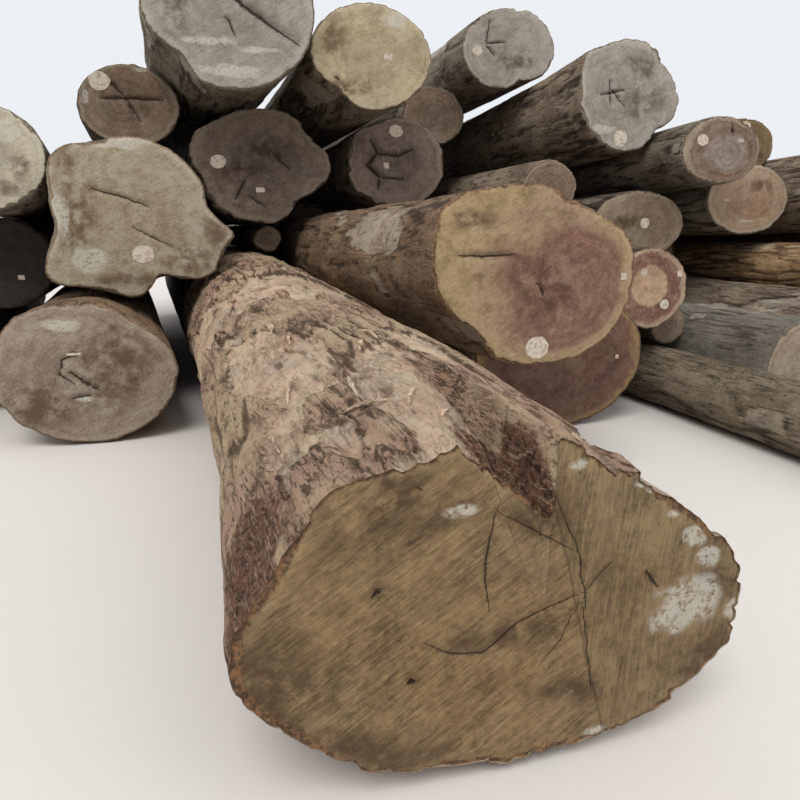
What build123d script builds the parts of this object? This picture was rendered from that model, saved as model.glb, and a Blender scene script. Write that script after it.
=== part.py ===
from build123d import *
from collections import namedtuple
import math
import os

import numpy as np

os.makedirs("parts", exist_ok=True)

# Stack of round hardwood logs, crosscut to one length and heaped by size
# Millimetres. +Y runs along the logs, away from the butts that face the yard, and +Z is up.
# Each log lies straight. Its outline is an oval with root lobes that fade along the flare, and the
# stem behind the flare tapers evenly.

# Driving sizes
LOG_LENGTH = 5800
FLARE_LENGTH = 1300
SIDE_LENGTH = 135
FEWEST_SIDES = 24
SEAT_GAP = 0.3
END_GAP = 150

# The rotted notch in the top of the front log's butt: how far its rim lies to the left and right of the
# log's middle and its foot to the right, its size at its far end, and how far its cutter stands out
NOTCH_LEFT = 205
NOTCH_RIGHT = 185
NOTCH_FOOT = 164
NOTCH_DEPTH = 295
NOTCH_LENGTH = 900
NOTCH_END_SIZE = 0.1
NOTCH_OPEN = 60

# Starts along Y of the two butts that other logs lie behind, end to end with a gap of END_GAP
FRONT_START = 1930
HEART_START = 3950
BEHIND_FRONT = FRONT_START + LOG_LENGTH + END_GAP
BEHIND_HEART = HEART_START + LOG_LENGTH + END_GAP

# A lobe takes a side for each LOBE_STEP of its spread. Below that: the share of the butt's lobes, and
# of its growth over the top end, that is left where the flare ends.
LOBE_STEP = 1.1
LOBE_AT_FLARE = 0.45
GROWTH_AT_FLARE = 0.6

# A leaning log also turns round towards its top end. What is left there of its lobes, and of its oval
# shape where the flare ends.
LEANING_LOBE_AT_TOP = 0.15
LEANING_OVAL_AT_FLARE = 0.3

# How finely the heap is searched for the place where a log comes to rest, and how far a side face
# may be warped and still count as flat
STATION_STEP = 200
FIRST_ROLL = 64
LAST_ROLL = 0.02
FLAT_WITHIN = 0.0000001

# One log: width and height of the butt, diameter of the top end, start of the butt along Y,
# the sideways place where it is laid, how far it may roll from there, its root lobes as
# (angle from +X, rise, spread in degrees), and how far its top end leans over to the right.
# A negative rise is a hollow between two root spurs.
Log = namedtuple("Log", "name width height top start x roll lobes lean", defaults=[0])

GROUND_LOGS = [
    Log("front_log", 1404, 1126, 1310, FRONT_START, 913, 0,
        [(141, 34, 14), (182, 88, 19), (349, 235, 29), (20, -12, 14), (67, -71, 23), (249, -23, 32)], 130),
    Log("back_log", 1260, 1300, 1180, BEHIND_FRONT, 1000, 0, []),
    Log("left_log", 1310, 1050, 1020, 6100, -390, 0, [(42, -60, 24), (135, 55, 24)]),
    Log("left_rear_log", 1160, 1140, 1000, 7300, -1800, 0, []),
    Log("infill_log", 640, 600, 580, BEHIND_FRONT, 2010, 0, []),
    Log("dark_red_log", 1500, 1140, 1240, 5450, 3080, 0, []),
    Log("mossy_thin_log", 540, 540, 480, 3200, 4350, 0, []),
    Log("smooth_log", 840, 840, 760, 5000, 5060, 0, []),
    Log("right_base_log", 1000, 980, 880, 5600, 5990, 0, []),
    Log("right_end_log", 1060, 1060, 940, 6200, 7050, 0, []),
    Log("outer_log", 900, 880, 800, 6600, 8000, 0, []),
]

UPPER_LOGS = [
    Log("heartwood_log", 1270, 1050, 1020, HEART_START, 2080, 20,
        [(58, -80, 24), (145, 100, 20), (214, -100, 26)]),
    Log("rear_heart_log", 1150, 1130, 1070, BEHIND_HEART, 2080, 150, []),
    Log("star_log", 1256, 1264, 1280, 6800, 20, 20,
        [(13, -37, 8), (349, 212, 9), (326, 144, 13), (292, -160, 12), (215, 188, 15), (138, 121, 18),
         (183, -42, 11)]),
    Log("dark_end_log", 840, 800, 660, 7600, -1150, 150, []),
    Log("under_ring_log", 400, 380, 360, 6000, 4400, 60, []),
    Log("two_ring_log", 740, 690, 640, 5700, 4060, 40, []),
    Log("middle_fill_log", 700, 680, 620, 7000, 3250, 150, []),
    Log("right_fill_log", 800, 800, 720, 7800, 5450, 150, []),
    Log("ochre_log", 600, 560, 520, 6000, 6450, 150, []),
    Log("outer_fill_log", 940, 920, 840, 7000, 7460, 150, []),
    Log("greenish_log", 1060, 660, 760, 6800, 4745, 120, []),
    Log("orange_log", 1040, 720, 780, 6900, 5850, 120, []),
    Log("far_right_log", 860, 860, 780, 5600, 6760, 150, []),
    Log("bearer_log", 300, 280, 260, 7950, 1150, 80, []),
    Log("fluted_log", 1330, 1050, 1040, 7700, 1190, 20,
        [(30, -80, 12), (158, 60, 12), (195, -90, 14), (320, -140, 20)]),
    Log("split_end_log", 1040, 900, 860, 8000, 2480, 100, [(150, 40, 20), (205, 50, 15)]),
    Log("small_back_log", 600, 540, 500, 7100, 3700, 120, []),
    Log("pale_log", 860, 800, 680, 7000, -1010, 20, []),
    Log("ringed_log", 900, 620, 680, 6420, 5230, 30, []),
    Log("speckled_log", 880, 590, 660, 7500, 6380, 120, []),
    Log("square_log", 1120, 1030, 960, 6900, 4535, 20,
        [(35, -80, 20), (145, 80, 14), (315, -110, 15)]),
    Log("brown_log", 760, 640, 640, 8600, 3050, 120, []),
    Log("olive_log", 1140, 900, 800, 7200, 2100, 20, [(222, -90, 20)]),
    Log("small_top_log", 900, 720, 700, 7900, 40, 0, []),
    Log("long_crack_log", 1420, 1260, 1040, 7000, 850, 60,
        [(38, 50, 24), (125, -40, 20), (218, -110, 18)]),
    Log("grey_log", 1060, 790, 860, 8000, 3650, 120, [(300, -70, 22), (225, 30, 20), (50, 25, 20)]),
]


def sides_of(log):
    """How many straight sides the outline has: one for each SIDE_LENGTH of girth, or enough for its lobes."""
    girth = math.pi * (log.width + log.height) / 2
    spreads = [spread for _, _, spread in log.lobes]
    return max(FEWEST_SIDES, round(girth / SIDE_LENGTH), round(360 / (LOBE_STEP * min(spreads, default=360))))


def outline(log, size, lobe_share, oval_share=1):
    """Corners of one section about its own middle. Size is the oval's size as a share of the butt's."""
    angles = np.arange(sides_of(log)) * 2 * math.pi / sides_of(log)
    mean = (log.width + log.height) / 4
    half_width = size * (mean + oval_share * (log.width / 2 - mean))
    half_height = size * (mean + oval_share * (log.height / 2 - mean))
    radius = half_width * half_height / np.hypot(half_height * np.cos(angles), half_width * np.sin(angles))
    for direction, rise, spread in log.lobes:
        turn = (np.degrees(angles) - direction + 180) % 360 - 180
        radius = radius + lobe_share * rise * np.exp(-((turn / spread) ** 2))
    return np.column_stack([radius * np.cos(angles), radius * np.sin(angles)])


def shape_of(log):
    """Sections from the butt to the top end: their places along Y, and their corners with the underside at 0.

    A log with root lobes has a section where its flare ends. One without was cut higher up the tree.
    The top end repeats the section before it, only smaller, unless the log leans and turns round.
    """
    top_size = log.top / ((log.width + log.height) / 2)
    stem_size = top_size + GROWTH_AT_FLARE * (1 - top_size)
    if log.lean:
        places = [0, FLARE_LENGTH, LOG_LENGTH]
        flare_end = outline(log, stem_size, LOBE_AT_FLARE, LEANING_OVAL_AT_FLARE)
        outlines = [outline(log, 1, 1), flare_end, outline(log, top_size, LEANING_LOBE_AT_TOP, 0)]
    elif log.lobes:
        places = [0, FLARE_LENGTH, LOG_LENGTH]
        flare_end = outline(log, stem_size, LOBE_AT_FLARE)
        outlines = [outline(log, 1, 1), flare_end, flare_end * top_size / stem_size]
    else:
        places = [0, LOG_LENGTH]
        outlines = [outline(log, 1, 1), outline(log, top_size, 1)]
    places, outlines = np.array(places), np.array(outlines)
    outlines[:, :, 0] += log.lean * places[:, None] / LOG_LENGTH
    outlines[:, :, 1] -= outlines[:, :, 1].min(axis=1, keepdims=True)
    return log.start + places, outlines


def cut_at(shape, ys):
    """Outlines where planes at ys cut the log: straight lines join the corners of its sections."""
    places, outlines = shape
    after = np.clip(np.searchsorted(places, ys), 1, len(places) - 1)
    share = ((ys - places[after - 1]) / (places[after] - places[after - 1]))[:, None, None]
    return outlines[after - 1] * (1 - share) + outlines[after] * share


def reach(outlines, xs, side):
    """Highest (side 1) or lowest (side -1) z of each outline at its xs, and minus infinity past its ends."""
    ends = np.roll(outlines, -1, axis=1)
    x0, z0 = outlines[:, :, None, 0], outlines[:, :, None, 1]
    x1, z1 = ends[:, :, None, 0], ends[:, :, None, 1]
    share = (xs[:, None, :] - x0) / np.where(x1 == x0, 1, x1 - x0)
    inside = (share >= 0) & (share <= 1) & (x1 != x0)
    return np.where(inside, side * (z0 + share * (z1 - z0)), -np.inf).max(axis=1)


def lifts(below, above):
    """Places along Y that both logs share, and how far the one above must rise there to clear the other."""
    first = max(below[0][0], above[0][0])
    last = min(below[0][-1], above[0][-1])
    if first >= last:
        return np.empty((2, 0))
    ends = [y for y in (*below[0], *above[0]) if first < y < last]
    ys = np.sort([*ends, *np.linspace(first, last, math.ceil((last - first) / STATION_STEP) + 1)])
    under = cut_at(below, ys)
    over = cut_at(above, ys)
    xs = np.concatenate([under[:, :, 0], over[:, :, 0]], axis=1)
    return np.array([ys, (reach(under, xs, 1) + reach(over, xs, -1)).max(axis=1)])


def moved(shape, x, z, slope=0):
    """The log moved sideways and up, and sloping along Y from its butt."""
    places, outlines = shape
    rise = z + slope * (places - places[0])
    offsets = np.column_stack([np.full(len(places), x), rise])
    return places, outlines + offsets[:, None, :]


def settle(pile, shape, x):
    """Lay the log on the pile at x and let it tip: its height at mid length and its slope along Y.

    The log touches the pile in front of its middle and behind it, so of all lines through a front
    and a rear place that it has to clear, the one that lies highest at mid length is the right one.
    """
    laid = moved(shape, x, 0)
    floor = np.array([laid[0][[0, -1]], [0, 0]])
    places, heights = np.hstack([floor, *(lifts(below, laid) for below in pile)])
    middle = floor[0].mean()
    front = (places <= middle) & np.isfinite(heights)
    rear = (places > middle) & np.isfinite(heights)
    y0, z0 = places[front][:, None], heights[front][:, None]
    slopes = (heights[rear] - z0) / (places[rear] - y0)
    mid_heights = z0 + slopes * (middle - y0)
    highest = np.unravel_index(mid_heights.argmax(), mid_heights.shape)
    return mid_heights[highest], slopes[highest]


def roll(pile, shape, log):
    """Roll the log from its x to the lowest place within reach, and return that x."""
    x = log.x
    step = FIRST_ROLL
    height, _ = settle(pile, shape, x)
    while step > LAST_ROLL:
        tries = [x + move for move in (-step, step) if abs(x + move - log.x) <= log.roll]
        lowest = min([(settle(pile, shape, place)[0], place) for place in tries], default=(height, x))
        if lowest[0] < height:
            height, x = lowest
        else:
            step /= 2
    return x


def near(laid, log):
    """Logs of the heap that lie within reach of the new one, sideways."""
    half = log.width / 2 + log.roll
    return [other for other in laid if np.ptp(np.clip(other[1][:, :, 0], log.x - half, log.x + half)) > 0]


def facing(shape, side):
    """The log turned so that a move to its right (side 1) or its left (side -1) is a move up."""
    places, outlines = shape
    return places, outlines[:, :, ::-1] * [1, side]


def push(laid, shape, side):
    """How far a log on the ground has to move to its right or left to clear those laid before."""
    needs = [lifts(facing(other, side), facing(shape, side))[1] for other in laid]
    return max(0, np.concatenate([[-SEAT_GAP], *needs]).max() + SEAT_GAP)


def lay_stack():
    """Every log in place: ground logs side by side, then each upper log at rest on the heap."""
    laid = {}
    for log in GROUND_LOGS:
        side = 1 if log.x > GROUND_LOGS[0].x else -1
        shape = moved(shape_of(log), log.x, 0)
        laid[log.name] = moved(shape, side * push(laid.values(), shape, side), 0)
    for log in UPPER_LOGS:
        shape = shape_of(log)
        pile = near(laid.values(), log)
        x = roll(pile, shape, log)
        height, slope = settle(pile, shape, x)
        laid[log.name] = moved(shape, x, height + SEAT_GAP - slope * LOG_LENGTH / 2, slope)
    return laid


def base_point(laid):
    """Middle of the stack's base, which becomes the origin."""
    xs = np.concatenate([outlines[:, :, 0].ravel() for _, outlines in laid.values()])
    ys = np.concatenate([places for places, _ in laid.values()])
    return (xs.min() + xs.max()) / 2, (ys.min() + ys.max()) / 2


def warp(face):
    """How far a side face's last corner stands off the plane through the others."""
    first, second, third, last = [Vector(*corner) for corner in face.vertices()]
    normal = (second - first).cross(third - first).normalized()
    return abs((last - first).dot(normal))


def flat_sided(log):
    """The same log, with each side that is flat made a true plane, as the loft leaves all of them free-form."""
    ends = log.faces().filter_by(GeomType.PLANE)
    sides = log.faces().filter_by(GeomType.PLANE, reverse=True)
    return Solid(Shell([*ends, *[Face(side.outer_wire()) if warp(side) < FLAT_WITHIN else side for side in sides]]))


def across(y):
    """Plane of a section, at its place along Y from the middle of the stack."""
    return Plane(origin=(-middle_x, y - middle_y, 0), x_dir=(1, 0, 0), z_dir=(0, -1, 0))


def notch_section(shape, along, size):
    """Corners of the notch that far along the log: a lopsided wedge that runs on past the rim, into the open."""
    y = shape[0][0] + along
    rim = cut_at(shape, np.array([y]))[0][:, 1].max()
    open_share = (NOTCH_DEPTH + NOTCH_OPEN) / NOTCH_DEPTH
    foot = NOTCH_FOOT * size
    across_rim = np.array([-NOTCH_LEFT, NOTCH_RIGHT]) * size
    mouth = foot + open_share * (across_rim - foot)
    depth = NOTCH_DEPTH * size
    x = GROUND_LOGS[0].x + GROUND_LOGS[0].lean * along / LOG_LENGTH
    return [(x + foot, rim - depth), *[(x + side, rim - depth + open_share * depth) for side in mouth]]


# Logs, each lofted through its sections, and the notch in the front log
stack = lay_stack()
middle_x, middle_y = base_point(stack)
for name, (places, outlines) in stack.items():
    with BuildPart() as log:
        for y, corners in zip(places, outlines):
            with BuildSketch(across(y)):
                with BuildLine():
                    Polyline(*[tuple(corner) for corner in corners], close=True)
                make_face()
        add(flat_sided(loft(ruled=True, mode=Mode.PRIVATE).solid()))
        if name == GROUND_LOGS[0].name:
            for along, size in ((0, 1), (NOTCH_LENGTH, NOTCH_END_SIZE)):
                with BuildSketch(across(places[0] + along)):
                    with BuildLine():
                        Polyline(*notch_section((places, outlines), along, size), close=True)
                    make_face()
            loft(ruled=True, mode=Mode.SUBTRACT)
    log.part.label = name
    export_step(log.part, f"parts/{name}.step")
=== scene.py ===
import math

import bpy
import numpy as np
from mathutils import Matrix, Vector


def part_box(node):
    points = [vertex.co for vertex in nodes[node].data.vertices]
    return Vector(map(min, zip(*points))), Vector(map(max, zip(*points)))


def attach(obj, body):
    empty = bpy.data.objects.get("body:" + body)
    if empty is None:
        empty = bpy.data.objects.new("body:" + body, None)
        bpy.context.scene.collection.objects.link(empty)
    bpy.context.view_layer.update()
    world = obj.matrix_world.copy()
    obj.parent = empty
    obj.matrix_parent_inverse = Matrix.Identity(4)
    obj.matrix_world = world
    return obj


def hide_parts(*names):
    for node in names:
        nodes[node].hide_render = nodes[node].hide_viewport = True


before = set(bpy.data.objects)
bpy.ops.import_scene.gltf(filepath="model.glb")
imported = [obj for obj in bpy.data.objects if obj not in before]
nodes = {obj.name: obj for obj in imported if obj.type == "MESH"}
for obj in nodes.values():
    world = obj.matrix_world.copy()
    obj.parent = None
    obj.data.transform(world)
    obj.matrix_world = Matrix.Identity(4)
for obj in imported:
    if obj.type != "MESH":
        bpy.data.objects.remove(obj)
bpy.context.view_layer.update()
scene = bpy.context.scene


def srgb(red, green, blue):
    """Linear colour with full alpha from the 0-255 values that a colour is usually written with."""
    share = np.array([red, green, blue]) / 255
    linear = np.where(share <= 0.04045, share / 12.92, ((share + 0.055) / 1.055) ** 2.4)
    return (*linear.tolist(), 1.0)


# Camera: at a person's eye height in front of the front log's butt, looking down and to the right of the logs
EYE_HEIGHT, EYE_BEFORE_BUTT, EYE_LEFT_OF_MIDDLE = 1.7, 1.93, 0.9767
PITCH, YAW = math.radians(13.5), math.radians(18)
FOCAL_PIXELS, PICTURE_PIXELS, SENSOR_MM = 802, 800, 36

front_low, front_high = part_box("front_log")
front_middle_x = (front_low.x + front_high.x) / 2
camera = bpy.data.objects.new("camera", bpy.data.cameras.new("camera"))
camera.data.sensor_width = SENSOR_MM
camera.data.lens = FOCAL_PIXELS / PICTURE_PIXELS * SENSOR_MM
camera.data.clip_end = 200
camera.location = (front_middle_x - EYE_LEFT_OF_MIDDLE, front_low.y - EYE_BEFORE_BUTT, EYE_HEIGHT)
camera.rotation_euler = (math.pi / 2 - PITCH, 0, -YAW)
scene.collection.objects.link(camera)
scene.camera = camera
scene.view_settings.view_transform = "Standard"

# Noise on a grid, for relief and for the ragged edges
OCTAVE_HEIGHT = 0.55


def lattice_noise(rng, round_share, along, cells_round, cells_along):
    """Smooth noise from -1 to 1 that repeats once round the log.

    Random numbers stand at the corners of a lattice, cells_round by cells_along to the metre. Between them
    the value is mixed in both directions with the weight 3t^2 - 2t^3.
    """
    u = round_share * cells_round
    v = along * cells_along
    rows = int(np.floor(v.max())) + 2
    corners = rng.uniform(-1, 1, (rows + 1, cells_round))
    u0, v0 = np.floor(u).astype(int), np.floor(v).astype(int)
    tu, tv = u - u0, v - v0
    tu, tv = tu * tu * (3 - 2 * tu), tv * tv * (3 - 2 * tv)
    left, right = u0 % cells_round, (u0 + 1) % cells_round
    low = corners[v0, left] * (1 - tu) + corners[v0, right] * tu
    high = corners[v0 + 1, left] * (1 - tu) + corners[v0 + 1, right] * tu
    return low * (1 - tv) + high * tv


def fractal(rng, round_share, along, cells_round, cells_along, octaves):
    """Sum of lattice noise, each octave twice as fine and 0.55 times as high as the one before, from -1 to 1."""
    result, height, norm = 0, 1.0, 0.0
    for octave in range(octaves):
        finer = 2 ** octave
        result = result + height * lattice_noise(rng, round_share, along, cells_round * finer, cells_along * finer)
        norm += height
        height *= OCTAVE_HEIGHT
    return result / norm


def ramp(value, low, high):
    """0 below low, 1 above high, and a smooth step between; the other way round where low is the greater."""
    share = np.clip((value - low) / (high - low), 0, 1)
    return share * share * (3 - 2 * share)


# Outlines of the logs, read from the solids. Mesh points as near as this to a plane lie on it, in metres.
ON_PLANE = 0.0006


def mesh_points(mesh):
    """Places of a mesh's points as rows of x, y and z."""
    points = np.empty(len(mesh.vertices) * 3)
    mesh.vertices.foreach_get("co", points)
    return points.reshape(-1, 3)


def section_at(points, y, angles, shift):
    """Middle of the section at y, moved by the shift, and the section's radius about it at each angle.

    The section's corners are the mesh points on the plane, in order round their middle. Where the ray at
    an angle leaves the straight side between two corners, the line through both gives its distance.
    """
    corners = np.unique(np.round(points[np.abs(points[:, 1] - y) < ON_PLANE][:, [0, 2]], 5), axis=0)
    middle = (corners.min(axis=0) + corners.max(axis=0)) / 2 + shift
    off = corners - middle
    turn = np.arctan2(off[:, 1], off[:, 0])
    order = np.argsort(turn)
    off, turn = off[order], turn[order]
    nth = np.searchsorted(turn, angles) % len(turn)
    start, end = off[nth - 1], off[nth]
    side = end - start
    rays = np.column_stack([np.cos(angles), np.sin(angles)])
    reach = start[:, 0] * side[:, 1] - start[:, 1] * side[:, 0]
    return middle, reach / (rays[:, 0] * side[:, 1] - rays[:, 1] * side[:, 0])


def softened(radius, degrees):
    """The radii averaged over their neighbours, with a bell of that many degrees, so that corners turn round."""
    count = len(radius)
    offset = (np.arange(count) + count // 2) % count - count // 2
    bell = np.exp(-(offset * 360 / count / degrees) ** 2)
    return np.real(np.fft.ifft(np.fft.fft(radius) * np.fft.fft(bell / bell.sum())))


def from_line(x, z, points):
    """Distance of each place to a line through the points in metres, below 0 on its right, and the share along it.

    The nearest straight piece counts. The share runs from 0 at the first point to 1 at the last, and past both.
    """
    best, side, along = np.full(x.shape, 1e9), np.ones(x.shape), np.zeros(x.shape)
    pieces = len(points) - 1
    for nth, ((x0, z0), (x1, z1)) in enumerate(zip(points[:-1], points[1:])):
        length = (x1 - x0) ** 2 + (z1 - z0) ** 2
        free = ((x - x0) * (x1 - x0) + (z - z0) * (z1 - z0)) / length
        share = np.clip(free, 0, 1)
        away = np.hypot(x - x0 - share * (x1 - x0), z - z0 - share * (z1 - z0))
        nearer = away < best
        best = np.where(nearer, away, best)
        side = np.where(nearer, np.sign((x1 - x0) * (z - z0) - (z1 - z0) * (x - x0)), side)
        free = np.clip(free, -1 if nth == 0 else 0, 2 if nth == pieces - 1 else 1)
        along = np.where(nearer, (nth + free) / pieces, along)
    return best * side, along


# The rotted notch in the top of the front log's butt, in metres to the right of the middle that its outline is
# drawn about: rims, foot and depth at the butt, how far the whole notch runs along the log, and its size there as
# a share of that at the butt. It cuts the rim between the two angles NOTCH_FROM and NOTCH_TO. The outline's middle
# leans to the right by FRONT_LEAN for each metre of the log, and its columns stand round a middle moved by
# FRONT_SHIFT. The flare of the butts ends at FLARE_LENGTH.
NOTCH_LEFT, NOTCH_RIGHT, NOTCH_FOOT = -0.205, 0.185, 0.164
NOTCH_DEPTH, NOTCH_LENGTH, NOTCH_END_SIZE = 0.295, 0.9, 0.1
NOTCH_FROM, NOTCH_TO = math.radians(62), math.radians(128)
FRONT_OVAL_X = front_middle_x - 0.0637
FRONT_LEAN = 0.13 / 5.8
FRONT_SHIFT = np.array([0.1, -0.05])
FLARE_LENGTH = 1.3

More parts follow.
